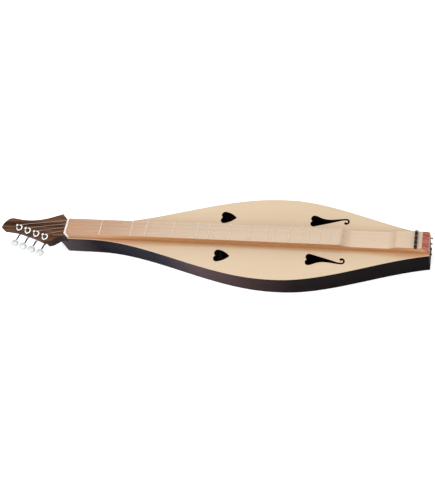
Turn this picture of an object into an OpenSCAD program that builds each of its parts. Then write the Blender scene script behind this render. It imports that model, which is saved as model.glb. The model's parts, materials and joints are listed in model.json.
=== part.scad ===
// Mountain dulcimer: a long teardrop box with a full-length fretboard, four strings,
// a flat headstock plate and four worm-geared tuners.
// Millimetres, +Z up. X runs from the head to the tail and Y across the instrument.
// The design is drawn about the nut: X = 0 at the nut's front face, Z = 0 on the soundboard's top.
// placed() then moves everything so that the origin is the bottom centre of the whole object.

/* [Scale and strings] */
// String length from the nut to the bridge
scale_length = 700; // [694:1:701]
// Sideways distance between neighbouring strings at the nut
nut_spacing = 8; // [6:0.5:8.5]
// Sideways distance between neighbouring strings at the bridge
bridge_spacing = 9; // [7:0.5:9.5]

/* [Body] */
// Depth of the sound box from the soundboard's top to the back's underside
body_depth = 58; // [50:1:64]
// Half width of the widest part, the lower bout
bout_half = 86.3; // [78:0.1:95]
// Half width of the straight neck end
neck_half = 19.2; // [18.8:0.1:20]
// Thickness of the soundboard
top_t = 3; // [2:0.5:4]
// Thickness of the back
back_t = 3; // [2:0.5:4]
// Thickness of the bent sides
rib_t = 2.2; // [1.6:0.1:2.6]

/* [Fretboard] */
// Width of the fretboard
board_w = 35; // [34:0.5:37]
// Height of the fretboard above the soundboard
board_h = 18; // [16:0.5:20]
// Depth of the strum hollow
hollow_depth = 6.5; // [5:0.5:7]
// Height of a fret's crown above the fretboard
fret_h = 0.8; // [0.6:0.1:1]

/* [Headstock] */
// Thickness of the headstock plate where the tuners are mounted
head_t = 10; // [9:0.5:11]
// Thickness of the headstock's root, next to the nut
root_t = 20; // [17:0.5:24]
// Height of the headstock's face above the soundboard
head_face = 8; // [6:0.5:10]

/* [Tuners] */
// Teeth on each tuner's wheel
wheel_teeth = 16; // [14:1:16]
// Axial pitch of the worm's thread
worm_pitch = 2.2; // [2:0.05:2.2]
// Height of a string post above the headstock's face
post_h = 11; // [9:0.5:13]
// Width of a tuner button across its oval
button_w = 20; // [16:0.5:20.5]

/* [Hidden] */
FRETS = 16;
STRINGS = 4;
function two(i) = str(i < 10 ? "0" : "", i);
$fn = 48;
eps = 0.01;
over = 1;

// Places along the instrument
head_tip = [-158, -3];
block_end_x = -31;
lap_x = -3;
nut_front_x = 1.5;
straight_end_x = 48;
bout_start_x = 432;
bout_end_x = 444;
taper_end_x = 780;
taper_half = 16;
tail_x = 724;
pin_end_x = 728;
head_block_x = 34;
tail_block_x = 694;
mid_x = (head_tip[0] + pin_end_x) / 2;

// Places in height
back_z = back_t - body_depth;
head_under = head_face - head_t;
root_under = head_face - root_t;

// Colours
spruce = [0.89, 0.80, 0.66];
dark_rib = [0.16, 0.11, 0.13];
block_wood = [0.72, 0.58, 0.42];
board_wood = [0.82, 0.66, 0.50];
head_wood = [0.33, 0.21, 0.15];
ebony = [0.08, 0.07, 0.07];
padauk = [0.72, 0.35, 0.28];
nut_white = [0.94, 0.89, 0.84];
nickel = [0.80, 0.80, 0.82];
brass = [0.78, 0.66, 0.38];
steel_grey = [0.35, 0.35, 0.37];
pearl = [0.88, 0.88, 0.87];

module placed() translate([-mid_x, 0, body_depth]) children();

// ---- curves -------------------------------------------------------------
function smooth(t) = t * t * (3 - 2 * t);

// Half width of the sound box at x: straight neck, swelling bout, narrowing tail
function half_width(x) =
    x < straight_end_x ? neck_half
    : x < bout_start_x
        ? neck_half + (bout_half - neck_half)
            * smooth((x - straight_end_x) / (bout_start_x - straight_end_x))
    : x < bout_end_x ? bout_half
    : bout_half - (bout_half - taper_half) * smooth((x - bout_end_x) / (taper_end_x - bout_end_x));

function slope(x) = (half_width(x + 0.5) - half_width(x - 0.5));

// Half width measured a distance t inside the outline
function inside(x, t) = half_width(x) - t * sqrt(1 + slope(x) * slope(x));

// Stations along x between two ends, close together where the outline curves
function stations(x0, x1) = concat(
    [x0],
    [for (i = [0 : 56]) let (x = straight_end_x + 12 * i) if (x > x0 + 1 && x < x1 - 1) x],
    [x1]
);

function reversed(list) = [for (i = [len(list) - 1 : -1 : 0]) list[i]];
function mirrored(points) = [for (p = reversed(points)) [p[0], -p[1]]];

// Smooth curve through hand-placed points
function blend4(a, b, c, d, t) =
    (2 * b + (c - a) * t + (2 * a - 5 * b + 4 * c - d) * t * t
        + (3 * b - a - 3 * c + d) * t * t * t) / 2;
function curve(points, steps) = let (n = len(points) - 1) concat(
    [for (i = [0 : n - 1], j = [0 : steps - 1])
        blend4(points[max(i - 1, 0)], points[i], points[i + 1], points[min(i + 2, n)], j / steps)],
    [points[n]]
);

function arc(centre, r, from, to, steps) =
    [for (i = [0 : steps]) let (a = from + (to - from) * i / steps)
        centre + r * [cos(a), sin(a)]];

function unit(v) = v / norm(v);
function angle_of(v) = atan2(v[1], v[0]);

// ---- plan shapes --------------------------------------------------------
module body_plan(x0, x1, inset = 0) {
    xs = stations(x0, x1);
    polygon(concat(
        [for (x = xs) [x, inside(x, inset)]],
        [for (x = reversed(xs)) [x, -inside(x, inset)]]
    ));
}

// Strip that follows one side of the outline, from inset t0 to inset t1
module side_strip(x0, x1, t0, t1, side) {
    xs = stations(x0, x1);
    polygon(concat(
        [for (x = xs) [x, side * inside(x, t0)]],
        [for (x = reversed(xs)) [x, side * inside(x, t1)]]
    ));
}

// Plan of the rounded head end, used to round the block and both ribs together
end_round = 12;
module rounded_end_plan() {
    translate([block_end_x + end_round, -100]) square([900, 200]);
    translate([block_end_x, end_round - neck_half])
        square([end_round * 2, 2 * (neck_half - end_round)]);
    for (side = [-1, 1])
        translate([block_end_x + end_round, side * (neck_half - end_round)])
            circle(r = end_round);
}

// Removes the step that the headstock's root is lapped into
module cut_for_headstock() difference() {
    children();
    translate([block_end_x - over, -50, root_under])
        cube([lap_x - block_end_x + over, 100, root_t]);
}

// ---- sound holes --------------------------------------------------------
heart_lobe = [327.3, 5.9];
heart_lobe_r = 7.1;
heart_tip = [352.3, 0];
heart_side_r = 42;
heart_y = 42.5;

// Upper half of the heart, from its point round the lobe to its notch
function heart_half() = let (
    d = norm(heart_lobe - heart_tip),
    e = unit(heart_lobe - heart_tip),
    n = [-e[1], e[0]],
    a = (2 * heart_side_r * heart_lobe_r - heart_lobe_r * heart_lobe_r + d * d) / (2 * d),
    centre = heart_tip + a * e + sqrt(heart_side_r * heart_side_r - a * a) * n,
    join_angle = angle_of(heart_lobe - centre),
    notch_angle = 360 - acos(-sqrt(1 - pow(heart_lobe[1] / heart_lobe_r, 2)))
) concat(
    arc(centre, heart_side_r, angle_of(heart_tip - centre), join_angle, 6),
    arc(heart_lobe, heart_lobe_r, join_angle + 15, notch_angle, 12)
);

module heart_plan() {
    half = heart_half();
    polygon(concat(half, mirrored(half)));
}

// F-hole: a heart-shaped head that draws out into a stem with a curled end
f_lobe_r = 6.5;
f_lobe_x = 506.4;
f_inner_y = 35.8;
f_outer_y = 46.8;
f_curl = [568, 42];
f_curl_in = 2.9;
f_curl_out = 6.4;
f_blob = [566.9, 38.4];
f_blob_r = 2.8;
module f_hole_plan() {
    inner_edge = [[507, 29.3], [520, 32.8], [535, 36.9], [550, 41.2], [560, 44.2], [568, 44.9]];
    outer_edge = [[568, 48.4], [561, 48], [552, 46.8], [540, 45.6], [530, 45.9], [520, 48.4],
        [513, 51.7], [507, 53.3]];
    polygon(concat(
        arc([f_lobe_x, f_inner_y], f_lobe_r, 124, 262, 12),
        curve(inner_edge, 3),
        arc(f_curl, f_curl_in, 84, -60, 8),
        arc(f_blob, f_blob_r, 24, 285, 9),
        arc(f_curl, f_curl_out, -86, 84, 12),
        curve(outer_edge, 3),
        arc([f_lobe_x, f_outer_y], f_lobe_r, 98, 236, 12)
    ));
}

// ---- sound box ----------------------------------------------------------
module soundboard() color(spruce) placed() difference() {
    translate([0, 0, -top_t]) linear_extrude(top_t) body_plan(lap_x, tail_x);
    translate([0, 0, -top_t - over]) linear_extrude(top_t + 2 * over)
        for (side = [0, 1]) mirror([0, side, 0]) {
            translate([0, heart_y]) heart_plan();
            f_hole_plan();
        }
}

module back_panel() color(dark_rib) placed() translate([0, 0, -body_depth]) intersection() {
    linear_extrude(back_t) body_plan(block_end_x, tail_x);
    linear_extrude(back_t) rounded_end_plan();
}

module rib(side) color(dark_rib) placed() cut_for_headstock() translate([0, 0, back_z])
    intersection() {
        linear_extrude(-top_t - back_z) side_strip(block_end_x, tail_x, 0, rib_t, side);
        linear_extrude(-top_t - back_z) rounded_end_plan();
    }
module rib_near() rib(-1);
module rib_far() rib(1);

module head_block() color(dark_rib) placed() cut_for_headstock() translate([0, 0, back_z])
    intersection() {
        linear_extrude(-top_t - back_z) body_plan(block_end_x, head_block_x, rib_t);
        linear_extrude(-top_t - back_z) rounded_end_plan();
    }

// Linings double the glue line between the ribs and the two plates
lining_w = 6;
lining_h = 9;
module lining(side, z) color(block_wood) placed() translate([0, 0, z])
    linear_extrude(lining_h)
        side_strip(head_block_x, tail_block_x, rib_t, rib_t + lining_w, side);
module lining_top_near() lining(-1, -top_t - lining_h);
module lining_top_far() lining(1, -top_t - lining_h);
module lining_bottom_near() lining(-1, back_z);
module lining_bottom_far() lining(1, back_z);

// Cross brace between the linings, thinned towards its ends
brace_w = 8;
brace_h = 13;
brace_end_h = 4;
module brace_profile(x) {
    reach = inside(x + (x < bout_start_x ? -1 : 1) * brace_w / 2, rib_t + lining_w) - 0.1;
    polygon([
        [-reach, 0], [reach, 0], [reach, brace_end_h], [reach * 0.6, brace_h],
        [-reach * 0.6, brace_h], [-reach, brace_end_h]
    ]);
}
module brace(x) translate([x - brace_w / 2, 0, 0])
    rotate([90, 0, 90]) linear_extrude(brace_w) brace_profile(x);
back_brace_x = [150, 320, 540];
top_brace_x = [290, 600];
module back_brace(i) color(block_wood) placed()
    translate([0, 0, back_z]) brace(back_brace_x[i - 1]);
module top_brace(i) color(block_wood) placed()
    translate([0, 0, -top_t]) mirror([0, 0, 1]) brace(top_brace_x[i - 1]);

// ---- strings ------------------------------------------------------------
string_r = [0.32, 0.25, 0.2, 0.2];
slot_clear = 0.1;
nut_t = nut_front_x - lap_x;
nut_crown = board_h + 1.6;
bridge_crown = board_h + 7;
bridge_half_t = 2.5;
cap_round = 5;
cap_end_x = 723.5;
cap_arc = [cap_end_x - cap_round, board_h - cap_round];
pin_z = -top_t - 2.2;
pin_x = 724.9;
pin_r = 1.2;
pin_spacing = 11;
string_over_cap = cap_round + 0.5;
loop_gap = 0.12;

// Sideways place of string i, with string 1 on the far side
function lane(i, spacing) = (2.5 - i) * spacing;

// The tuner row: string posts on a slanting line along the headstock
post_first = [-114.9, -4];
post_pitch = 22.9;
row_slant = 16.3;
row_dir = [-cos(row_slant), sin(row_slant)];
shaft_dir = [-sin(row_slant), -cos(row_slant)];
function post_at(i) = post_first - (i - 1) * post_pitch * row_dir;

string_post_z = head_face + 6;
string_post_gap = 3.3;

// The string's route: post, nut, bridge, over the tail cap, down to its pin
function post_end(i) = let (
    from = [nut_front_x, lane(i, nut_spacing)],
    away = unit(from - post_at(i))
) post_at(i) + (string_post_gap + string_r[i - 1]) * [-away[1], away[0]];
function route(i) = let (
    r = string_r[i - 1],
    y_tail = lane(i, pin_spacing),
    e = post_end(i)
) concat(
    [[e[0], e[1], string_post_z]],
    [[nut_front_x, lane(i, nut_spacing), nut_crown - 0.2]],
    [[scale_length, lane(i, bridge_spacing), bridge_crown + 0.1]],
    [for (a = [90, 60, 30, 0]) [
        cap_arc[0] + string_over_cap * cos(a), y_tail, cap_arc[1] + string_over_cap * sin(a)]],
    [for (a = [0 : -30 : -270]) let (loop_r = pin_r + r + loop_gap)
        [pin_x, y_tail + loop_r * cos(a), pin_z + loop_r * sin(a)]]
);

// Tube of a constant round section swept along a list of points
tube_sides = 8;
function along(points, i) = unit(
    points[min(i + 1, len(points) - 1)] - points[max(i - 1, 0)]);
function flat_to(v, t) = unit(v - (v * t) * t);
function side_vectors(points, i, last) = i == len(points) ? []
    : let (s = flat_to(last, along(points, i))) concat([s], side_vectors(points, i + 1, s));
module tube(points, r) {
    sides = side_vectors(points, 0, [0, 1, 0]);
    rings = len(points);
    polyhedron(
        [for (i = [0 : rings - 1], k = [0 : tube_sides - 1]) let (a = 360 * k / tube_sides)
            points[i] + r * (cos(a) * sides[i] + sin(a) * cross(along(points, i), sides[i]))],
        concat(
            [[for (k = [tube_sides - 1 : -1 : 0]) k]],
            [for (i = [0 : rings - 2], k = [0 : tube_sides - 1]) let (
                a = i * tube_sides + k,
                b = i * tube_sides + (k + 1) % tube_sides
            ) [a, b, b + tube_sides, a + tube_sides]],
            [[for (k = [0 : tube_sides - 1]) (rings - 1) * tube_sides + k]]
        )
    );
}
module string(i) color(nickel) placed() tube(route(i), string_r[i - 1]);

// Round bar between two points
module rod(a, b, r) {
    run = b - a;
    translate(a)
        rotate([0, acos(run[2] / norm(run)), angle_of([run[0], run[1]])])
            cylinder(r = r, h = norm(run));
}

// Open-topped slot under the stretch of string from a towards b
slot_depth = 4;
module slot(a, b, r, length) {
    run = b - a;
    half_w = r + slot_clear;
    translate(a)
        rotate([0, -asin(run[2] / norm(run)), angle_of([run[0], run[1]])])
            translate([-0.2, -half_w, -half_w]) cube([length, 2 * half_w, slot_depth]);
}
module nut_slots() for (i = [1 : STRINGS]) let (way = route(i))
    slot(way[1], way[0], string_r[i - 1], nut_t + 2);
module bridge_slots() for (i = [1 : STRINGS], next = [1, 3]) let (way = route(i))
    slot(way[2], way[next], string_r[i - 1], 2 * bridge_half_t);

// ---- fretboard and its fittings -----------------------------------------
bevel_top_x = 711;
bevel_low_x = 723;
hollow_x0 = 565;
hollow_flat_x0 = 587;
hollow_flat_x1 = 645;
hollow_x1 = 666;
channel_w = 15;
channel_h = 8;
bridge_slot = 3;
fret_w = 2.2;
fret_tang_w = 0.6;
fret_tang_h = 1.8;

// Diatonic pattern in semitones, seven frets to the octave
PATTERN = [0, 2, 4, 5, 7, 9, 10];
function semitones(i) = 12 * floor(i / 7) + PATTERN[i % 7];
function fret_x(i) = scale_length * (1 - pow(2, -semitones(i) / 12));

// Points along the strum hollow's floor: both ramps are steep at the top and fade into the floor
function hollow_floor() = concat(
    [for (i = [0 : 8]) let (t = i / 8)
        [hollow_x0 + t * (hollow_flat_x0 - hollow_x0), board_h - hollow_depth * (1 - pow(1 - t, 2))]],
    [for (i = [0 : 8]) let (t = i / 8)
        [hollow_flat_x1 + t * (hollow_x1 - hollow_flat_x1), board_h - hollow_depth * (1 - t * t)]]
);
module board_side() polygon(concat(
    [[nut_front_x, 0], [nut_front_x, board_h]],
    hollow_floor(),
    [[bevel_top_x, board_h], [bevel_low_x, 0]]
));
module across(width) translate([0, width / 2, 0])
    rotate([90, 0, 0]) linear_extrude(width) children();

module fretboard() color(board_wood) placed() difference() {
    across(board_w) board_side();
    // sound channel along the underside
    translate([head_block_x, -channel_w / 2, -over])
        cube([hollow_x0 - 10 - head_block_x, channel_w, channel_h + over]);
    // bridge slot
    translate([scale_length - bridge_half_t, -board_w, board_h - bridge_slot])
        cube([2 * bridge_half_t, 2 * board_w, bridge_slot + over]);
    // fret slots
    for (i = [1 : FRETS])
        translate([fret_x(i) - fret_tang_w / 2, -board_w, board_h - fret_tang_h])
            cube([fret_tang_w, 2 * board_w, fret_tang_h + over]);
}

// Mushroom section: a domed crown on a thin tang
fret_dome_r = (fret_w * fret_w / 4 + fret_h * fret_h) / (2 * fret_h);
module fret_side() {
    intersection() {
        translate([0, board_h + fret_h - fret_dome_r]) circle(r = fret_dome_r);
        translate([-fret_w / 2, board_h]) square([fret_w, fret_h]);
    }
    translate([-fret_tang_w / 2, board_h - fret_tang_h])
        square([fret_tang_w, fret_tang_h + 0.2]);
}
module fret(i) color(nickel) placed() translate([fret_x(i), 0, 0]) across(board_w) fret_side();

// The nut is a tall plate over the board's end, reaching down to the soundboard
nut_round = 1.2;
module nut() color(nut_white) placed() difference() {
    across(board_w) polygon(concat(
        [[nut_front_x, 0]],
        arc([nut_front_x - nut_round, nut_crown - nut_round], nut_round, 0, 90, 5),
        [[lap_x, nut_crown - 0.9], [lap_x, 0]]
    ));
    nut_slots();
}

module bridge() color(ebony) placed() difference() {
    intersection() {
        across(board_w) {
            translate([scale_length - bridge_half_t, board_h - bridge_slot])
                square([2 * bridge_half_t, bridge_crown - board_h + bridge_slot - bridge_half_t]);
            translate([scale_length, bridge_crown - bridge_half_t]) circle(r = bridge_half_t);
        }
        translate([scale_length, 0, 0]) bridge_ends();
    }
    bridge_slots();
}
// Rounds the bridge's two upper ends
bridge_end_r = 4;
module bridge_ends() rotate([90, 0, 90]) translate([0, 0, -5]) linear_extrude(10) {
    translate([-board_w / 2, 0]) square([board_w, bridge_crown - bridge_end_r]);
    translate([-board_w / 2 + bridge_end_r, 0])
        square([board_w - 2 * bridge_end_r, bridge_crown]);
    for (side = [-1, 1])
        translate([side * (board_w / 2 - bridge_end_r), bridge_crown - bridge_end_r])
            circle(r = bridge_end_r);
}

module tail_cap() color(padauk) placed() across(board_w) polygon(concat(
    [[bevel_low_x, 0], [bevel_top_x, board_h]],
    arc(cap_arc, cap_round, 90, 0, 6),
    [[cap_end_x, 0]]
));

// ---- tail end -----------------------------------------------------------
pin_head_r = 2;
pin_head_t = 1.4;
pin_hole_x = 710;
module tail_block() color(dark_rib) placed() difference() {
    translate([0, 0, back_z]) linear_extrude(-top_t - back_z)
        body_plan(tail_block_x, tail_x, rib_t);
    for (i = [1 : STRINGS])
        rod([pin_hole_x, lane(i, pin_spacing), pin_z], [tail_x + over, lane(i, pin_spacing), pin_z],
            pin_r);
}
module tail_pins() color(ebony) placed() for (i = [1 : STRINGS]) {
    y = lane(i, pin_spacing);
    rod([pin_hole_x, y, pin_z], [pin_end_x - pin_head_t + eps, y, pin_z], pin_r);
    rod([pin_end_x - pin_head_t, y, pin_z], [pin_end_x, y, pin_z], pin_head_r);
}

// ---- headstock ----------------------------------------------------------
module headstock_plan() {
    far_shoulder = [[lap_x, 17.5], [-9, 20.7], [-15.5, 26.5], [-22.5, 32.8]];
    far_edge = [[-22.5, 32.8], [-36.5, 27.6], [-51.6, 22.1], [-67, 18.2], [-83, 15.6], [-96, 14.9],
        [-109, 15.3], [-121, 16.8], [-133, 18.3]];
    tip = [[-133, 18.3], [-140.5, 18.2], [-147, 15.5], [-151.6, 10.8], [-155.6, 5], head_tip];
    near_tip = [head_tip, [-155.5, -7.5], [-150, -11]];
    near_edge = [[-150, -11], [-134, -12.3], [-116, -14.6], [-97, -19.4], [-79, -24.4],
        [-60, -31.2], [-50, -34.2], [-42, -34.6], [-35, -32.6], [-29, -29], [-22, -23.9],
        [-13, -18.7], [lap_x, -17.5]];
    polygon(concat(
        curve(far_shoulder, 4), curve(far_edge, 3), curve(tip, 3),
        curve(near_tip, 3), curve(near_edge, 3)
    ));
}

// The root is the thick part of the headstock, behind the last tuner's plate
root_gap = 7.4;
module root_plan() intersection() {
    headstock_plan();
    translate(post_at(STRINGS)) rotate(180 - row_slant) translate([-100 - root_gap, -80])
        square([100, 160]);
}

// Local frame of tuner i: x towards the head's tip along the row, y towards the button, z up
module at_tuner(i) translate([post_at(i)[0], post_at(i)[1], 0])
    multmatrix([
        [row_dir[0], shaft_dir[0], 0, 0],
        [row_dir[1], shaft_dir[1], 0, 0],
        [0, 0, 1, 0],
        [0, 0, 0, 1]
    ]) children();

post_r = 3;
post_waist_r = 2.4;
running_gap = 0.05;
bushing_r = 4.9;
bushing_flange_r = 7.25;
bushing_flange_t = 1.6;
bushing_mouth_r = 4.3;
bushing_mouth_h = 2.4;
bushing_depth = 7.5;
post_clear_r = 3.5;
screw_r = 1.2;
screw_len = 7;
screw_head_r = 2.2;
screw_head_t = 1.1;
screw_at = [[-4.4, -7.4], [-4.4, 7.4]];

module headstock() color(head_wood) placed() difference() {
    union() {
        translate([0, 0, head_under]) linear_extrude(head_t) headstock_plan();
        translate([0, 0, root_under]) linear_extrude(root_t) root_plan();
    }
    for (i = [1 : STRINGS]) at_tuner(i) {
        translate([0, 0, head_face - bushing_depth]) cylinder(r = bushing_r, h = 20);
        translate([0, 0, head_under - over]) cylinder(r = post_clear_r, h = 20);
        for (s = screw_at) translate([s[0], s[1], head_under - over])
            cylinder(r = screw_r, h = screw_len + over);
    }
}

module post_bushings() color(nickel) placed() for (i = [1 : STRINGS]) at_tuner(i)
    translate([0, 0, head_face]) rotate_extrude() polygon([
        [post_r + running_gap, -bushing_depth], [bushing_r, -bushing_depth], [bushing_r, 0],
        [bushing_flange_r, 0], [bushing_flange_r, 0.6], [bushing_flange_r - 0.7, 1.3],
        [5.5, bushing_flange_t], [bushing_mouth_r, 1.2], [bushing_mouth_r - 0.3, -bushing_mouth_h],
        [post_r + running_gap, -bushing_mouth_h]
    ]);

// ---- tuners -------------------------------------------------------------
// The worm and wheel mesh at centre distance worm_offset, with the worm's axis along y
wheel_r = wheel_teeth * worm_pitch / (2 * PI);
worm_core = 2.3;
worm_throw = 0.5;
mesh_gap = 0.2;
worm_offset = wheel_r + worm_core + mesh_gap;
wheel_wave = 0.42;
wheel_t = 3;
plate_t = 1;
axis_drop = 12;
axis_z = head_under - plate_t - axis_drop;
worm_shaft_r = 1.7;
worm_len = 4 * worm_pitch;
ear_y = 7;
ear_t = 1.2;
ear_half_w = 3.2;
plate_x0 = -6.4;
plate_x1 = worm_offset + ear_half_w;
plate_half_y = 9.6;
shaft_tail_y = -9;
button_y = 29.5;
button_len = 17.5;
button_t = 8.5;
button_grip = 7;
stub_r = 2;
collar_r = 2.6;

module tuner_plates() color(nickel) placed() for (i = [1 : STRINGS]) at_tuner(i) difference() {
    union() {
        translate([plate_x0, -plate_half_y, head_under - plate_t])
            cube([plate_x1 - plate_x0, 2 * plate_half_y, plate_t]);
        for (side = [-1, 1]) translate([0, side * ear_y - ear_t / 2, 0]) {
            translate([worm_offset - ear_half_w, 0, axis_z])
                cube([2 * ear_half_w, ear_t, axis_drop]);
            translate([worm_offset, 0, axis_z]) rotate([-90, 0, 0])
                cylinder(r = ear_half_w, h = ear_t);
        }
    }
    translate([worm_offset, -20, axis_z]) rotate([-90, 0, 0])
        cylinder(r = worm_shaft_r + running_gap, h = 40);
    translate([0, 0, head_under - plate_t - over]) cylinder(r = post_clear_r, h = plate_t + 2 * over);
    for (s = screw_at) translate([s[0], s[1], head_under - plate_t - over])
        cylinder(r = screw_r, h = plate_t + 2 * over);
}

module tuner_screws() color(nickel) placed() for (i = [1 : STRINGS]) at_tuner(i)
    for (s = screw_at) translate([s[0], s[1], head_under - plate_t]) difference() {
        union() {
            cylinder(r = screw_r, h = plate_t + screw_len - 1);
            intersection() {
                translate([0, 0, -screw_head_t]) cylinder(r = screw_head_r, h = screw_head_t);
                translate([0, 0, 2]) sphere(r = 3.1);
            }
        }
        translate([-3, -0.3, -screw_head_t - over]) cube([6, 0.6, over + 0.5]);
    }

// Worm shaft: a right-hand thread between two collars, running in the plate's ears
module tuner_worm(i) color(steel_grey) placed() at_tuner(i)
    translate([worm_offset, 0, axis_z]) rotate([-90, 0, 0]) {
        translate([0, 0, -worm_len / 2]) rotate(180 + 360 * -worm_len / 2 / worm_pitch)
            linear_extrude(worm_len, twist = -360 * worm_len / worm_pitch, slices = 48, $fn = 16)
                translate([worm_throw, 0]) circle(r = worm_core);
        for (side = [-1, 1]) translate([0, 0, side * (ear_y - ear_t / 2 - 0.7) - 0.6])
            cylinder(r = collar_r, h = 1.2);
        translate([0, 0, shaft_tail_y])
            cylinder(r = worm_shaft_r, h = button_y - button_len / 2 + button_grip - shaft_tail_y);
    }

// Oval button with two softly domed faces
function oval(w, l) = [for (k = [0 : 47]) let (a = 7.5 * k)
    [w / 2 * sign(cos(a)) * pow(abs(cos(a)), 0.9), l / 2 * sign(sin(a)) * pow(abs(sin(a)), 0.9)]];
button_dome_r = 28;
module tuner_button(i) color(pearl) placed() at_tuner(i)
    translate([worm_offset, button_y, axis_z]) difference() {
        intersection() {
            translate([0, 0, -button_t / 2]) linear_extrude(button_t)
                polygon(oval(button_w, button_len));
            dome_ball(1);
            dome_ball(-1);
        }
        translate([0, -button_len / 2 - over, 0]) rotate([-90, 0, 0])
            cylinder(r = worm_shaft_r, h = button_grip + over);
    }
module dome_ball(side)
    translate([0, 0, side * (button_t / 2 - button_dome_r)]) sphere(r = button_dome_r, $fn = 96);

// String post: turns in its bushing, with a waist and a cross hole for the string
stub_len = wheel_t + 1.5;
wheel_top = axis_z + wheel_t / 2;
post_top = head_face + post_h;
post_hole_r = 0.8;
module tuner_post(i) color(nickel) placed() at_tuner(i) difference() {
    rotate_extrude() polygon([
        [0, wheel_top - stub_len], [stub_r, wheel_top - stub_len], [stub_r, wheel_top],
        [post_r, wheel_top], [post_r, head_face + 3], [post_waist_r, head_face + 4],
        [post_waist_r, head_face + 7.5], [post_r, head_face + 8.5], [post_r, post_top - 0.8],
        [post_r - 0.6, post_top], [0, post_top]
    ]);
    translate([0, 0, string_post_z]) rotate([0, 90, 0])
        cylinder(r = post_hole_r, h = 20, center = true);
}

// Wheel whose wavy rim is the mate of the worm's round thread
module tuner_wheel(i) color(brass) placed() at_tuner(i)
    translate([0, 0, axis_z - wheel_t / 2]) difference() {
        linear_extrude(wheel_t) polygon([for (k = [0 : wheel_teeth * 8 - 1])
            let (a = 360 * k / (wheel_teeth * 8), r = wheel_r - wheel_wave * cos(wheel_teeth * a))
                [r * cos(a), r * sin(a)]]);
        translate([0, 0, -over]) cylinder(r = stub_r, h = wheel_t + 2 * over);
    }

soundboard();
back_panel();
rib_near();
rib_far();
head_block();
tail_block();
lining_top_near();
lining_top_far();
lining_bottom_near();
lining_bottom_far();
for (i = [1 : len(back_brace_x)])
    back_brace(i);
for (i = [1 : len(top_brace_x)])
    top_brace(i);
fretboard();
nut();
bridge();
tail_cap();
tail_pins();
headstock();
for (i = [1 : FRETS])
    fret(i);
tuner_plates();
post_bushings();
tuner_screws();
for (i = [1 : STRINGS]) {
    tuner_worm(i);
    tuner_button(i);
    tuner_post(i);
    tuner_wheel(i);
    string(i);
}
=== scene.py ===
"""Looks of the mountain dulcimer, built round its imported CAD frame."""

import json
import math

import bmesh
import bpy
from mathutils import Matrix, Vector


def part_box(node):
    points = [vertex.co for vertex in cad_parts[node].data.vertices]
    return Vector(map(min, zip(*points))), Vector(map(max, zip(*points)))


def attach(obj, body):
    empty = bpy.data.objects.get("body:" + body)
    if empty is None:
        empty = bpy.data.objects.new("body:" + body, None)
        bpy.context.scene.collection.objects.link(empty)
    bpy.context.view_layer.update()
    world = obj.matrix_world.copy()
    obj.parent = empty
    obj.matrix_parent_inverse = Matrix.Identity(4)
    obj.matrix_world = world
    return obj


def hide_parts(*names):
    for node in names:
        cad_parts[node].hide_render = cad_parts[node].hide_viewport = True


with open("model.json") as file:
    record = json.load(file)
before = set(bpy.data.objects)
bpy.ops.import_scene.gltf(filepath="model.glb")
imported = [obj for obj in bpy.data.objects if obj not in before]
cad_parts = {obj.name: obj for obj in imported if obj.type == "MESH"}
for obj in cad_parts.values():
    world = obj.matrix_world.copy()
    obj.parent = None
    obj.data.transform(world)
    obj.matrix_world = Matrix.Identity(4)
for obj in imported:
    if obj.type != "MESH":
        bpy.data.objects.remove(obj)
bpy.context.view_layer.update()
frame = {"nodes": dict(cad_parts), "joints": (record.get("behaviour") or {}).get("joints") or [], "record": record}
NODES = frame["nodes"]
JOINTS = {j["name"]: j for j in frame["joints"]}
SLOT_OF = {s["node"]: s["material_slot"] for s in frame["record"]["subparts"]}
MM = 0.001

# ---- camera and stage ----------------------------------------------------
# The camera's place and axes in the row frame: its right, its up, and the way back to it
CAMERA_AT = Vector((0.524, -0.7267, 1.4132))
CAMERA_RIGHT = Vector((0.95217, 0.18003, -0.24689))
CAMERA_UP = Vector((-0.04421, 0.88067, 0.47166))
CAMERA_BACK = Vector((0.30234, -0.43819, 0.84651))
SENSOR_MM = 36.0
LENS_MM = 59.95
FLOOR_HALF = 6.0
FLOOR_GAP = 0.0004
FLOOR_GLOW = 0.2
WORLD_STRENGTH = 1.45


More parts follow.
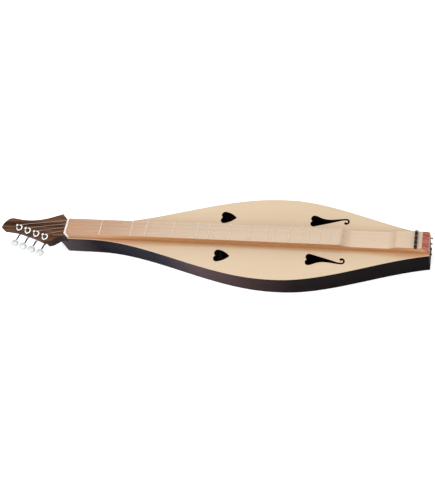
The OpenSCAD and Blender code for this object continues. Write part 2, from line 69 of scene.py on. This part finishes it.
# ---- small node-graph helper ----------------------------------------------
class Graph:
    """A material's node tree with short ways to add and join nodes."""

    def __init__(self, name, **shader):
        self.material = bpy.data.materials.new(name)
        self.material.use_nodes = True
        self.tree = self.material.node_tree
        self.tree.nodes.clear()
        self.out = self.node("ShaderNodeOutputMaterial")
        self.shader = self.node("ShaderNodeBsdfPrincipled")
        self.join(self.shader.outputs["BSDF"], self.out.inputs["Surface"])
        for socket, value in shader.items():
            self.set(self.shader, socket, value)
        self.coords = self.node("ShaderNodeTexCoord").outputs["Object"]

    def node(self, kind, **props):
        made = self.tree.nodes.new(kind)
        for key, value in props.items():
            setattr(made, key, value)
        return made

    def set(self, node, socket, value):
        name = socket.replace("_", " ")
        if name not in node.inputs:
            name = name.title()
        node.inputs[name].default_value = value

    def join(self, source, target):
        self.tree.links.new(source, target)

    def split(self, vector):
        """The X, Y and Z outputs of a vector."""
        made = self.node("ShaderNodeSeparateXYZ")
        self.join(vector, made.inputs[0])
        return made.outputs

    def facing(self):
        """The X, Y and Z parts of the surface's own direction."""
        return self.split(self.node("ShaderNodeTexCoord").outputs["Normal"])

    def stretched(self, scale, source=None, offset=(0, 0, 0)):
        mapping = self.node("ShaderNodeMapping")
        mapping.inputs["Scale"].default_value = scale
        mapping.inputs["Location"].default_value = offset
        self.join(source or self.coords, mapping.inputs["Vector"])
        return mapping.outputs["Vector"]

    def noise(self, scale, detail=3.0, rough=0.5, warp=0.0, source=None, offset=(0, 0, 0)):
        """Noise with its own scale along each axis."""
        tex = self.node("ShaderNodeTexNoise")
        tex.inputs["Scale"].default_value = 1.0
        tex.inputs["Detail"].default_value = detail
        tex.inputs["Roughness"].default_value = rough
        tex.inputs["Distortion"].default_value = warp
        self.join(self.stretched(scale, source, offset), tex.inputs["Vector"])
        return tex.outputs["Fac"]

    def ramp(self, fac, stops):
        made = self.node("ShaderNodeValToRGB")
        elements = made.color_ramp.elements
        while len(elements) < len(stops):
            elements.new(0.5)
        for element, (place, colour) in zip(elements, stops):
            element.position = place
            element.color = (*colour, 1.0)
        self.join(fac, made.inputs["Fac"])
        return made.outputs["Color"]

    def math(self, kind, a, b=None, clamp=False):
        made = self.node("ShaderNodeMath", operation=kind, use_clamp=clamp)
        for place, value in enumerate((a, b)):
            if value is None:
                continue
            if isinstance(value, (int, float)):
                made.inputs[place].default_value = value
            else:
                self.join(value, made.inputs[place])
        return made.outputs["Value"]

    def spread(self, fac, low, high, to_low=0.0, to_high=1.0):
        """Stretches the range low..high of a value to to_low..to_high."""
        made = self.node("ShaderNodeMapRange")
        made.inputs["From Min"].default_value = low
        made.inputs["From Max"].default_value = high
        made.inputs["To Min"].default_value = to_low
        made.inputs["To Max"].default_value = to_high
        self.join(fac, made.inputs["Value"])
        return made.outputs["Result"]

    def mix(self, fac, a, b, kind="MIX"):
        made = self.node("ShaderNodeMix", data_type="RGBA", blend_type=kind)
        for place, value in ((0, fac), (6, a), (7, b)):
            if isinstance(value, (int, float)):
                made.inputs[place].default_value = value
            elif isinstance(value, tuple):
                made.inputs[place].default_value = (*value, 1.0)
            else:
                self.join(value, made.inputs[place])
        return made.outputs[2]

    def bump(self, height, strength, distance, below=None):
        made = self.node("ShaderNodeBump")
        made.inputs["Strength"].default_value = strength
        made.inputs["Distance"].default_value = distance
        self.join(height, made.inputs["Height"])
        if below is not None:
            self.join(below, made.inputs["Normal"])
        return made.outputs["Normal"]

    def finish(self, colour=None, rough=None, normal=None):
        for source, socket in ((colour, "Base Color"), (rough, "Roughness"), (normal, "Normal")):
            if source is not None:
                self.join(source, self.shader.inputs[socket])
        return self.material


# ---- woods -----------------------------------------------------------------
RING_LEAN = 0.6         # how far the growth rings lean, as Y for each Z
RING_WANDER = 10 * MM   # how far they stray sideways
BOARD_HALF = 17.5 * MM  # half width of the fretboard


def wood(name, dark, middle, light, ring_mm, ring_depth, fibre_depth, rough,
         coat=0.0, coat_rough=0.15, streak=(2.2, 55, 55), streak_range=(0.3, 0.7),
         pores=0.0, bump_mm=0.02, specular=0.35, patch=(0.94, 1.05)):
    """Long-grained wood along X: broad streaks, growth rings, fine fibres and pores."""
    g = Graph(name, Specular_IOR_Level=specular, Coat_Weight=coat, Coat_Roughness=coat_rough)
    wander = g.noise((1.2, 9, 9), detail=2)
    streaks = g.spread(g.noise(streak, detail=4, rough=0.6, warp=0.4), *streak_range)
    colour = g.ramp(streaks, [(0.0, dark), (0.5, middle), (1.0, light)])

    at = g.split(g.coords)
    across = g.math("ADD", at["Y"], g.math("MULTIPLY", at["Z"], RING_LEAN))
    across = g.math("ADD", across, g.math("MULTIPLY", wander, RING_WANDER))
    phase = g.math("MULTIPLY", across, 2 * math.pi / (ring_mm * MM))
    rings = g.math("MULTIPLY", g.math("ADD", g.math("SINE", phase), 1.0), 0.5)
    rings = g.math("POWER", rings, 3.0)
    uneven = g.spread(g.noise((0.8, 90, 90), detail=2), 0.3, 0.7)
    rings = g.math("MULTIPLY", rings, uneven)
    colour = g.mix(g.math("MULTIPLY", rings, ring_depth), colour, dark)

    fibres = g.spread(g.noise((35, 1500, 1500), detail=2, rough=0.7), 0.35, 0.65)
    colour = g.mix(g.math("MULTIPLY", fibres, fibre_depth), colour, dark)
    height = g.math("ADD", fibres, g.math("MULTIPLY", rings, 0.6))
    if pores > 0:
        dots = g.spread(g.noise((90, 2600, 2600), detail=1), 0.62, 0.72)
        colour = g.mix(g.math("MULTIPLY", dots, pores), colour, tuple(c * 0.35 for c in dark))
        height = g.math("SUBTRACT", height, g.math("MULTIPLY", dots, 1.5))
    patches = g.spread(g.noise((3, 7, 7), detail=2), 0.3, 0.7, *patch)
    colour = g.mix(1.0, colour, patches, "MULTIPLY")
    smudge = g.spread(g.noise((20, 40, 40), detail=3), 0.3, 0.7, rough - 0.05, rough + 0.07)
    return g, colour, smudge, g.bump(height, 0.35, bump_mm * MM)


# The part of the soundboard that holds the hearts and the f-holes
HOLES_HALF_Y = 56 * MM
HOLES_FROM_X = 20 * MM
HOLES_TO_X = 300 * MM


def spruce_top():
    g, colour, rough, normal = wood(
        "spruce_top", (0.365, 0.272, 0.178), (0.415, 0.315, 0.212), (0.435, 0.333, 0.228),
        ring_mm=1.7, ring_depth=0.42, fibre_depth=0.12, rough=0.5, coat=0.04,
        streak=(1.4, 22, 22), streak_range=(0.1, 0.9), patch=(0.975, 1.02))
    at = g.split(g.coords)
    # Painted reflection and shade: the top is tinted honey-orange along the fretboard, as the flank's reflection
    # and the shade beside it, widest over the neck and tail and strongest on the near side
    off_middle = g.math("ABSOLUTE", at["Y"])
    reach = g.spread(at["X"], -130 * MM, 20 * MM, 33 * MM, 26 * MM)
    reach = g.math("ADD", reach, g.spread(at["X"], 320 * MM, 420 * MM, 0.0, 10 * MM))
    beside = g.math("DIVIDE", g.math("SUBTRACT", off_middle, BOARD_HALF),
                    g.math("SUBTRACT", reach, BOARD_HALF))
    flank_reflection_shade = g.ramp(beside, [(0.0, (0.96, 0.66, 0.47)), (0.45, (0.95, 0.74, 0.58)),
                            (1.0, (1.0, 1.0, 1.0))])
    reflection_strength = g.spread(at["Y"], -5 * MM, 5 * MM, 1.0, 0.35)
    colour = g.mix(reflection_strength, colour, flank_reflection_shade, "MULTIPLY")
    # The walls of the sound holes are painted near-black as painted shade; the outer rim is left bare
    wall = g.math("LESS_THAN", g.math("ABSOLUTE", g.facing()["Z"]), 0.5)
    shaded_hole_walls = g.math("MULTIPLY", wall, g.math("LESS_THAN", off_middle, HOLES_HALF_Y))
    shaded_hole_walls = g.math("MULTIPLY", shaded_hole_walls, g.math("GREATER_THAN", at["X"], HOLES_FROM_X))
    shaded_hole_walls = g.math("MULTIPLY", shaded_hole_walls, g.math("LESS_THAN", at["X"], HOLES_TO_X))
    colour = g.mix(shaded_hole_walls, colour, (0.004, 0.003, 0.002))
    return g.finish(colour, rough, normal)


def dark_sides():
    g, colour, rough, normal = wood(
        "dark_sides", (0.0008, 0.0004, 0.0005), (0.0018, 0.0010, 0.0012), (0.0045, 0.0026, 0.0028),
        ring_mm=5.0, ring_depth=0.5, fibre_depth=0.35, rough=0.42, specular=0.01,
        streak=(2.5, 20, 130), pores=0.5)
    # Painted reflection: the ribs are lifted to a thin purplish grey over the neck and bout, and left black
    # towards the tail
    along = g.spread(g.split(g.coords)["X"], -300 * MM, 450 * MM)
    painted_reflection = g.ramp(along, [(0.0, (0.043, 0.032, 0.033)), (0.10, (0.003, 0.002, 0.006)),
                          (0.27, (0.004, 0.006, 0.012)), (0.41, (0.050, 0.031, 0.034)),
                          (0.55, (0.024, 0.012, 0.012)), (0.66, (0.004, 0.002, 0.002)),
                          (1.0, (0.0, 0.0, 0.0))])
    return g.finish(g.mix(1.0, colour, painted_reflection, "ADD"), rough, normal)


def inner_wood():
    # The inside wood is painted near-black, as painted shade for the box's interior seen through the sound holes
    g, colour, rough, normal = wood(
        "inner_wood", (0.020, 0.012, 0.007), (0.040, 0.025, 0.015), (0.060, 0.040, 0.025),
        ring_mm=2.4, ring_depth=0.5, fibre_depth=0.2, rough=0.7)
    return g.finish(colour, rough, normal)


def fretboard_wood():
    g, colour, rough, normal = wood(
        "fretboard_wood", (0.25, 0.105, 0.036), (0.36, 0.165, 0.063), (0.42, 0.215, 0.088),
        ring_mm=4.5, ring_depth=0.3, fibre_depth=0.22, rough=0.45, coat=0.04, pores=0.3,
        streak=(1.6, 80, 80))
    # The upper face is painted paler than the flanks, as painted sheen and light on the top, and it grows paler
    # towards the tail
    facing = g.facing()
    sheen_on_top = g.spread(facing["Z"], 0.45, 0.85)
    at = g.split(g.coords)
    along = g.spread(at["X"], -290 * MM, 430 * MM)
    top = g.ramp(along, [(0.0, (0.30, 0.168, 0.098)), (0.14, (0.30, 0.195, 0.130)),
                         (0.27, (0.375, 0.285, 0.212)), (0.40, (0.39, 0.325, 0.248)),
                         (1.0, (0.455, 0.375, 0.283))])
    grain = g.mix(0.25, top, colour)
    # The strum hollow's ramps are painted darker, as painted shade on the slopes
    ramp_shade = g.spread(g.math("ABSOLUTE", facing["X"]), 0.10, 0.45)
    grain = g.mix(g.math("MULTIPLY", ramp_shade, 0.55), grain, (0.30, 0.185, 0.115))
    # The flanks are duller by the nut
    dull = g.spread(at["X"], -280 * MM, -190 * MM, 0.65, 0.0)
    colour = g.mix(dull, colour, (0.20, 0.125, 0.078))
    return g.finish(g.mix(sheen_on_top, colour, grain), rough, normal)


def headstock_wood():
    g, colour, rough, normal = wood(
        "headstock_wood", (0.010, 0.004, 0.002), (0.088, 0.036, 0.015), (0.18, 0.084, 0.047),
        ring_mm=7.5, ring_depth=0.8, fibre_depth=0.35, rough=0.42, specular=0.06,
        streak=(5, 120, 120), streak_range=(0.3, 0.7), pores=0.6)
    # The sawn edges are painted nearly black, as painted shade on the sides
    edge = g.spread(g.facing()["Z"], 0.75, 0.35)
    colour = g.mix(g.math("MULTIPLY", edge, 0.93), colour, (0.006, 0.003, 0.003))
    return g.finish(colour, rough, normal)


def ebony():
    g, colour, rough, normal = wood(
        "ebony", (0.005, 0.004, 0.004), (0.010, 0.008, 0.007), (0.022, 0.017, 0.014),
        ring_mm=3.0, ring_depth=0.3, fibre_depth=0.3, rough=0.35, specular=0.1)
    return g.finish(colour, rough, normal)


def padauk():
    g, colour, rough, normal = wood(
        "padauk", (0.15, 0.028, 0.018), (0.30, 0.078, 0.053), (0.39, 0.125, 0.088),
        ring_mm=3.2, ring_depth=0.45, fibre_depth=0.35, rough=0.42, specular=0.2, pores=0.7,
        streak=(9, 160, 160))
    return g.finish(colour, rough, normal)


# ---- bone, plastic and metal -------------------------------------------------
def nut_bone():
    g = Graph("nut_bone", Specular_IOR_Level=0.5, Coat_Weight=0.25, Coat_Roughness=0.12,
              Subsurface_Weight=0.08, Subsurface_Scale=0.002)
    grain = g.spread(g.noise((140, 260, 1400), detail=3), 0.3, 0.7)
    colour = g.ramp(grain, [(0.0, (0.47, 0.40, 0.34)), (0.5, (0.55, 0.49, 0.43)),
                            (1.0, (0.60, 0.55, 0.50))])
    stain = g.spread(g.noise((60, 90, 90), detail=2), 0.55, 0.75, 0.0, 0.35)
    colour = g.mix(stain, colour, (0.42, 0.33, 0.24))
    rough = g.spread(grain, 0.0, 1.0, 0.26, 0.36)
    return g.finish(colour, rough, g.bump(grain, 0.2, 0.01 * MM))


def pearl_button():
    g = Graph("pearl_button", Specular_IOR_Level=0.5, Coat_Weight=0.6, Coat_Roughness=0.06,
              Subsurface_Weight=0.15, Subsurface_Scale=0.003)
    swirl = g.noise((150, 260, 200), detail=3, warp=1.6)
    flakes = g.node("ShaderNodeTexVoronoi", feature="F1")
    flakes.inputs["Scale"].default_value = 330.0
    shifted = g.node("ShaderNodeVectorMath", operation="ADD")
    g.join(g.coords, shifted.inputs[0])
    push = g.node("ShaderNodeVectorMath", operation="SCALE")
    push.inputs["Scale"].default_value = 0.004
    warp = g.node("ShaderNodeTexNoise")
    warp.inputs["Scale"].default_value = 160.0
    g.join(g.coords, warp.inputs["Vector"])
    g.join(warp.outputs["Color"], push.inputs[0])
    g.join(push.outputs["Vector"], shifted.inputs[1])
    g.join(shifted.outputs["Vector"], flakes.inputs["Vector"])
    tone = g.node("ShaderNodeSeparateColor")
    g.join(flakes.outputs["Color"], tone.inputs[0])
    blend = g.math("ADD", g.math("MULTIPLY", tone.outputs["Red"], 0.5),
                   g.math("MULTIPLY", swirl, 0.5))
    colour = g.ramp(blend, [(0.2, (0.34, 0.36, 0.36)), (0.5, (0.44, 0.455, 0.45)),
                            (0.8, (0.52, 0.53, 0.525))])
    rough = g.spread(swirl, 0.3, 0.7, 0.16, 0.26)
    return g.finish(colour, rough, g.bump(swirl, 0.05, 0.05 * MM))


def metal(name, low, high, rough, scratch=(900, 900, 900), bump_mm=0.006, dull=None,
          shade_heights=None):
    """Metal with fine scratches and cloudy polish; dull adds darker patches.

    The two heights given for painted shade mark a band: every face between them is painted dark as painted shade
    in the well, and upright faces above them too, as painted dark reflections on the post's sides.
    """
    g = Graph(name, Metallic=1.0)
    clouds = g.spread(g.noise((120, 120, 120), detail=3), 0.3, 0.7)
    marks = g.spread(g.noise(scratch, detail=2, rough=0.7), 0.35, 0.65)
    colour = g.ramp(clouds, [(0.0, low), (1.0, high)])
    if dull:
        patches = g.spread(g.noise((260, 260, 260), detail=4, offset=(3, 1, 2)), 0.52, 0.70)
        colour = g.mix(g.math("MULTIPLY", patches, 0.6), colour, dull)
    # Painted shade in the well and painted dark reflections on the upright faces
    if shade_heights:
        bottom, well = shade_heights
        height = g.split(g.coords)["Z"]
        upright = g.spread(g.facing()["Z"], 0.85, 0.55, 0.0, 0.86)
        shaded_band = g.math("MULTIPLY", g.math("MAXIMUM", upright, g.math("LESS_THAN", height, well)),
                       g.math("GREATER_THAN", height, bottom))
        colour = g.mix(g.math("MULTIPLY", shaded_band, 0.93), colour, (0.02, 0.016, 0.015))
    roughness = g.math("ADD", g.spread(clouds, 0.0, 1.0, rough, rough + 0.08),
                       g.math("MULTIPLY", marks, 0.06))
    return g.finish(colour, roughness, g.bump(marks, 0.25, bump_mm * MM))


WRAP_PITCH = 0.16 * MM


def wound_string():
    """Bronze-wrapped wire: the wrap is a fine screw thread along the string."""
    g = Graph("wound_string", Metallic=1.0)
    wrap = g.math("SINE", g.math("MULTIPLY", g.split(g.coords)["X"], 2 * math.pi / WRAP_PITCH))
    clouds = g.noise((40, 300, 300), detail=2)
    colour = g.ramp(clouds, [(0.35, (0.36, 0.305, 0.245)), (0.65, (0.43, 0.375, 0.31))])
    rough = g.spread(clouds, 0.3, 0.7, 0.28, 0.40)
    return g.finish(colour, rough, g.bump(wrap, 0.5, 0.03 * MM))


MATERIALS = {
    "spruce_top": spruce_top(),
    "dark_sides": dark_sides(),
    "inner_wood": inner_wood(),
    "fretboard_wood": fretboard_wood(),
    "nut_bone": nut_bone(),
    "ebony": ebony(),
    "padauk": padauk(),
    "headstock_wood": headstock_wood(),
    # The fret wire is tinted to the fretboard's tan, a painted reflection of the board in the metal
    "fret_wire": metal("fret_wire", (0.48, 0.385, 0.305), (0.54, 0.445, 0.365), 0.30,
                       scratch=(1600, 60, 1600)),
    "nickel": metal("nickel", (0.60, 0.565, 0.55), (0.72, 0.69, 0.675), 0.18,
                    dull=(0.42, 0.38, 0.36), shade_heights=(60 * MM, 66.4 * MM)),
    "shaft_steel": metal("shaft_steel", (0.030, 0.034, 0.035), (0.065, 0.072, 0.073), 0.34,
                         dull=(0.02, 0.02, 0.02)),
    "pearl_button": pearl_button(),
    "wheel_brass": metal("wheel_brass", (0.50, 0.34, 0.13), (0.74, 0.56, 0.26), 0.24,
                         dull=(0.30, 0.20, 0.09)),
    # The plain strings are tinted to the fretboard's tan, a painted reflection of the board in the steel
    "string_steel": metal("string_steel", (0.36, 0.31, 0.255), (0.43, 0.375, 0.315), 0.32,
                          scratch=(60, 2500, 2500)),
}
WOUND = wound_string()
# The string's turns round each post are painted near-black, as painted shade round the post
SHADED_WINDING = metal("shaded_winding_steel", (0.035, 0.030, 0.026), (0.075, 0.066, 0.058), 0.38)


# ---- carried-over CAD nodes ----------------------------------------------------
def soften(obj, width_mm, segments=2, angle=35):
    """Breaks a CAD node's sharp edges and smooths its gentle curves, without touching its mesh."""
    obj.data.shade_smooth()
    weld = obj.modifiers.new("weld", "WELD")
    weld.merge_threshold = 1e-6
    if width_mm:
        bevel = obj.modifiers.new("broken_edges", "BEVEL")
        bevel.width = width_mm * MM
        bevel.segments = segments
        bevel.limit_method = "ANGLE"
        bevel.angle_limit = math.radians(angle)
        bevel.use_clamp_overlap = True
        bevel.miter_outer = "MITER_ARC"
        weighted = obj.modifiers.new("face_weighted", "WEIGHTED_NORMAL")
        weighted.keep_sharp = False
        weighted.weight = 80
    else:
        split = obj.modifiers.new("sharp_edges", "EDGE_SPLIT")
        split.split_angle = math.radians(angle)


EDGE_MM = {
    "soundboard": 0.35, "back_panel": 0.5, "rib_near": 0.3, "rib_far": 0.3,
    "head_block": 0.3, "tail_block": 0.3, "fretboard": 0.6, "nut": 0.3, "bridge": 0.3,
    "tail_cap": 0.5, "headstock": 0.9, "tuner_plates": 0.2,
}


def drop_custom_normals(mesh):
    found = mesh.attributes.get("custom_normal")
    if found:
        mesh.attributes.remove(found)


for node_name, node_object in NODES.items():
    slot_name = SLOT_OF[node_name]
    material = WOUND if node_name == "string_1" else MATERIALS[slot_name]
    node_object.data.materials.clear()
    node_object.data.materials.append(material)
    drop_custom_normals(node_object.data)
    soften(node_object, EDGE_MM.get(node_name, 0))


# ---- tuner buttons --------------------------------------------------------------
BUTTON_RINGS = 26
BUTTON_SIDES = 56
OUTLINE_FALL = 2.3      # how late a button's outline starts to close, towards each end
OUTLINE_ROUND = 0.46    # how round its ends are, in width
CROWN_SHARE = 0.70      # how much of its thickness swells towards the middle
CROWN_ROUND = 0.5
TIP_ROUND = 0.30        # how round its ends are, in thickness
SECTION_POWER = 0.82    # below 1 the section is fuller than an oval
STEM_FROM = -0.80       # the stem takes over from here to the shaft end
STEM_R = 3.1 * MM
STEM_OVAL = 0.98


def tuner_axes(i):
    """Local frame of tuner i's shaft: its middle, its way out, and the way across."""
    shaft = Vector(JOINTS[f"button_{i}_turn"]["axis"]).normalized()
    low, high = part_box(f"tuner_button_{i}")
    up = Vector((0, 0, 1))
    return (low + high) / 2, shaft, up.cross(shaft), up


def button_size(i):
    """Half length along the shaft, half width across it, and half thickness of a button."""
    centre, shaft, side, up = tuner_axes(i)
    points = [v.co - centre for v in NODES[f"tuner_button_{i}"].data.vertices]
    return [max(abs(p.dot(axis)) for p in points) for axis in (shaft, side, up)]


def make_button(i):
    """An oval pearl button: a plump rounded slab with a short turned stem at the shaft."""
    centre, shaft, side, up = tuner_axes(i)
    half_len, half_wide, half_thick = button_size(i)
    mesh = bmesh.new()
    rings = []
    for r in range(BUTTON_RINGS + 1):
        t = -math.cos(math.pi * r / BUTTON_RINGS)
        along = t * half_len
        fall = max(0.0, 1 - abs(t) ** OUTLINE_FALL)
        wide = half_wide * fall ** OUTLINE_ROUND
        crown = 1 - CROWN_SHARE + CROWN_SHARE * fall ** CROWN_ROUND
        thick = half_thick * crown * fall ** TIP_ROUND
        if t < STEM_FROM:
            wide = max(wide, STEM_R)
            thick = max(thick, STEM_R * STEM_OVAL)
        ring = []
        for k in range(BUTTON_SIDES):
            a = 2 * math.pi * k / BUTTON_SIDES
            c, s = math.cos(a), math.sin(a)
            x = wide * math.copysign(abs(c) ** SECTION_POWER, c)
            z = thick * math.copysign(abs(s) ** SECTION_POWER, s)
            ring.append(mesh.verts.new(centre + shaft * along + side * x + up * z))
        rings.append(ring)
    for a, b in zip(rings, rings[1:]):
        for k in range(BUTTON_SIDES):
            j = (k + 1) % BUTTON_SIDES
            mesh.faces.new((a[k], a[j], b[j], b[k]))
    mesh.faces.new(rings[0])
    mesh.faces.new(rings[-1])
    bmesh.ops.remove_doubles(mesh, verts=mesh.verts, dist=1e-6)
    bmesh.ops.recalc_face_normals(mesh, faces=mesh.faces)
    return finish_piece(mesh, f"pearl_button_{i}", "pearl_button", f"tuner_{i}_button",
                        replaced=[f"tuner_button_{i}"])


def finish_piece(mesh, name, slot_name, body, replaced=(), material=None):
    """Turns a bmesh into a named piece with its material, body and slot."""
    data = bpy.data.meshes.new(name)
    mesh.to_mesh(data)
    mesh.free()
    obj = bpy.data.objects.new(name, data)
    bpy.context.scene.collection.objects.link(obj)
    data.shade_smooth()
    data.materials.append(material or MATERIALS[slot_name])
    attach(obj, body)
    if replaced:
        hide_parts(*replaced)
    return obj


# ---- turns of string round each post ------------------------------------------------
WIRE_SIDES = 8
STEPS_PER_TURN = 28
TURNS = 4
SETTLE_TURNS = 0.6      # how much of a turn the wire takes to close in on the waist
TURN_GAP = 0.04 * MM    # between one turn and the next
NEAR_POST = 6 * MM      # a string's points this close to a post are its end
WAIST_R = 2.4 * MM
WIRE_R = (0.32 * MM, 0.25 * MM, 0.20 * MM, 0.20 * MM)


def sweep(mesh, points, radius):
    """A closed round tube along a list of points."""
    rings = []
    last_side = None
    for i, point in enumerate(points):
        ahead = points[min(i + 1, len(points) - 1)] - points[max(i - 1, 0)]
        ahead.normalize()
        side = last_side or ahead.orthogonal()
        side = (side - ahead * side.dot(ahead)).normalized()
        last_side = side
        other = ahead.cross(side)
        ring = []
        for k in range(WIRE_SIDES):
            a = 2 * math.pi * k / WIRE_SIDES
            ring.append(mesh.verts.new(point + radius * (math.cos(a) * side + math.sin(a) * other)))
        rings.append(ring)
    for a, b in zip(rings, rings[1:]):
        for k in range(WIRE_SIDES):
            j = (k + 1) % WIRE_SIDES
            mesh.faces.new((a[k], a[j], b[j], b[k]))
    mesh.faces.new(list(reversed(rings[0])))
    mesh.faces.new(rings[-1])


def string_end(i):
    """Where CAD string i stops beside its post, relative to the post's axis."""
    axis = Vector(JOINTS[f"post_{i}_turn"]["pos_m"])
    near = [v.co for v in NODES[f"string_{i}"].data.vertices
            if (v.co.to_2d() - axis.to_2d()).length < NEAR_POST]
    end = sum(near, Vector()) / len(near)
    return axis, end


def make_winding(i):
    """The string's turns: one wide turn that meets the string, then close turns down the waist."""
    axis, end = string_end(i)
    wire = WIRE_R[i - 1]
    offset = (end - axis).to_2d()
    outer = offset.length
    inner = WAIST_R + wire
    start = math.atan2(offset.y, offset.x)
    points = []
    count = STEPS_PER_TURN * (TURNS + 1)
    for k in range(count + 1):
        turn = k / STEPS_PER_TURN
        settle = min(max(turn - 1.0, 0.0) / SETTLE_TURNS, 1.0)
        settle = settle * settle * (3 - 2 * settle)
        radius = outer + (inner - outer) * settle
        drop = max(turn - 1.0, 0.0) * (2 * wire + TURN_GAP)
        a = start - 2 * math.pi * turn
        points.append(Vector((axis.x + radius * math.cos(a), axis.y + radius * math.sin(a),
                              end.z - drop)))
    mesh = bmesh.new()
    sweep(mesh, points, wire)
    return finish_piece(mesh, f"string_winding_{i}", "string_steel", f"tuner_{i}_post",
                        material=SHADED_WINDING)


for tuner in range(1, 5):
    make_button(tuner)
    make_winding(tuner)


# ---- stage, light and camera ------------------------------------------------------------
def make_floor():
    mesh = bmesh.new()
    corners = [(-1, -1), (1, -1), (1, 1), (-1, 1)]
    mesh.faces.new([mesh.verts.new((x * FLOOR_HALF, y * FLOOR_HALF, -FLOOR_GAP)) for x, y in corners])
    data = bpy.data.meshes.new("floor")
    mesh.to_mesh(data)
    mesh.free()
    floor = bpy.data.objects.new("floor", data)
    bpy.context.scene.collection.objects.link(floor)
    g = Graph("floor_paper", Specular_IOR_Level=0.1, Emission_Color=(1, 1, 1, 1),
              Emission_Strength=FLOOR_GLOW)
    tone = g.spread(g.noise((5, 5, 5), detail=2), 0.3, 0.7, 0.0, 1.0)
    colour = g.ramp(tone, [(0.0, (0.93, 0.93, 0.93)), (1.0, (0.95, 0.95, 0.95))])
    data.materials.append(g.finish(colour, g.spread(tone, 0, 1, 0.85, 0.95)))


def area_light(name, at, size, power, colour=(1, 1, 1)):
    """A round soft light at a place, aimed at the row frame's origin."""
    light = bpy.data.lights.new(name, "AREA")
    light.shape = "DISK"
    light.size = size
    light.energy = power
    light.color = colour
    obj = bpy.data.objects.new(name, light)
    obj.location = at
    obj.rotation_euler = (-Vector(at)).to_track_quat("-Z", "Y").to_euler()
    bpy.context.scene.collection.objects.link(obj)
    return obj


def make_world(colour, strength):
    world = bpy.data.worlds.new("studio")
    bpy.context.scene.world = world
    world.use_nodes = True
    background = world.node_tree.nodes["Background"]
    background.inputs["Color"].default_value = (*colour, 1.0)
    background.inputs["Strength"].default_value = strength


def make_camera():
    camera = bpy.data.cameras.new("camera")
    camera.sensor_width = SENSOR_MM
    camera.lens = LENS_MM
    camera.clip_start = 0.01
    camera.clip_end = 50.0
    obj = bpy.data.objects.new("camera", camera)
    turn = Matrix((CAMERA_RIGHT, CAMERA_UP, CAMERA_BACK)).transposed().to_4x4()
    obj.matrix_world = Matrix.Translation(CAMERA_AT) @ turn
    bpy.context.scene.collection.objects.link(obj)
    bpy.context.scene.camera = obj


make_floor()
make_world((1.0, 1.0, 1.0), WORLD_STRENGTH)
area_light("overhead", at=(-0.5, 0.3, 2.2), size=1.6, power=20)
area_light("side_fill", at=(-1.4, -1.3, 0.8), size=1.2, power=10, colour=(0.95, 0.97, 1.0))
make_camera()
bpy.context.scene.view_settings.view_transform = "Standard"
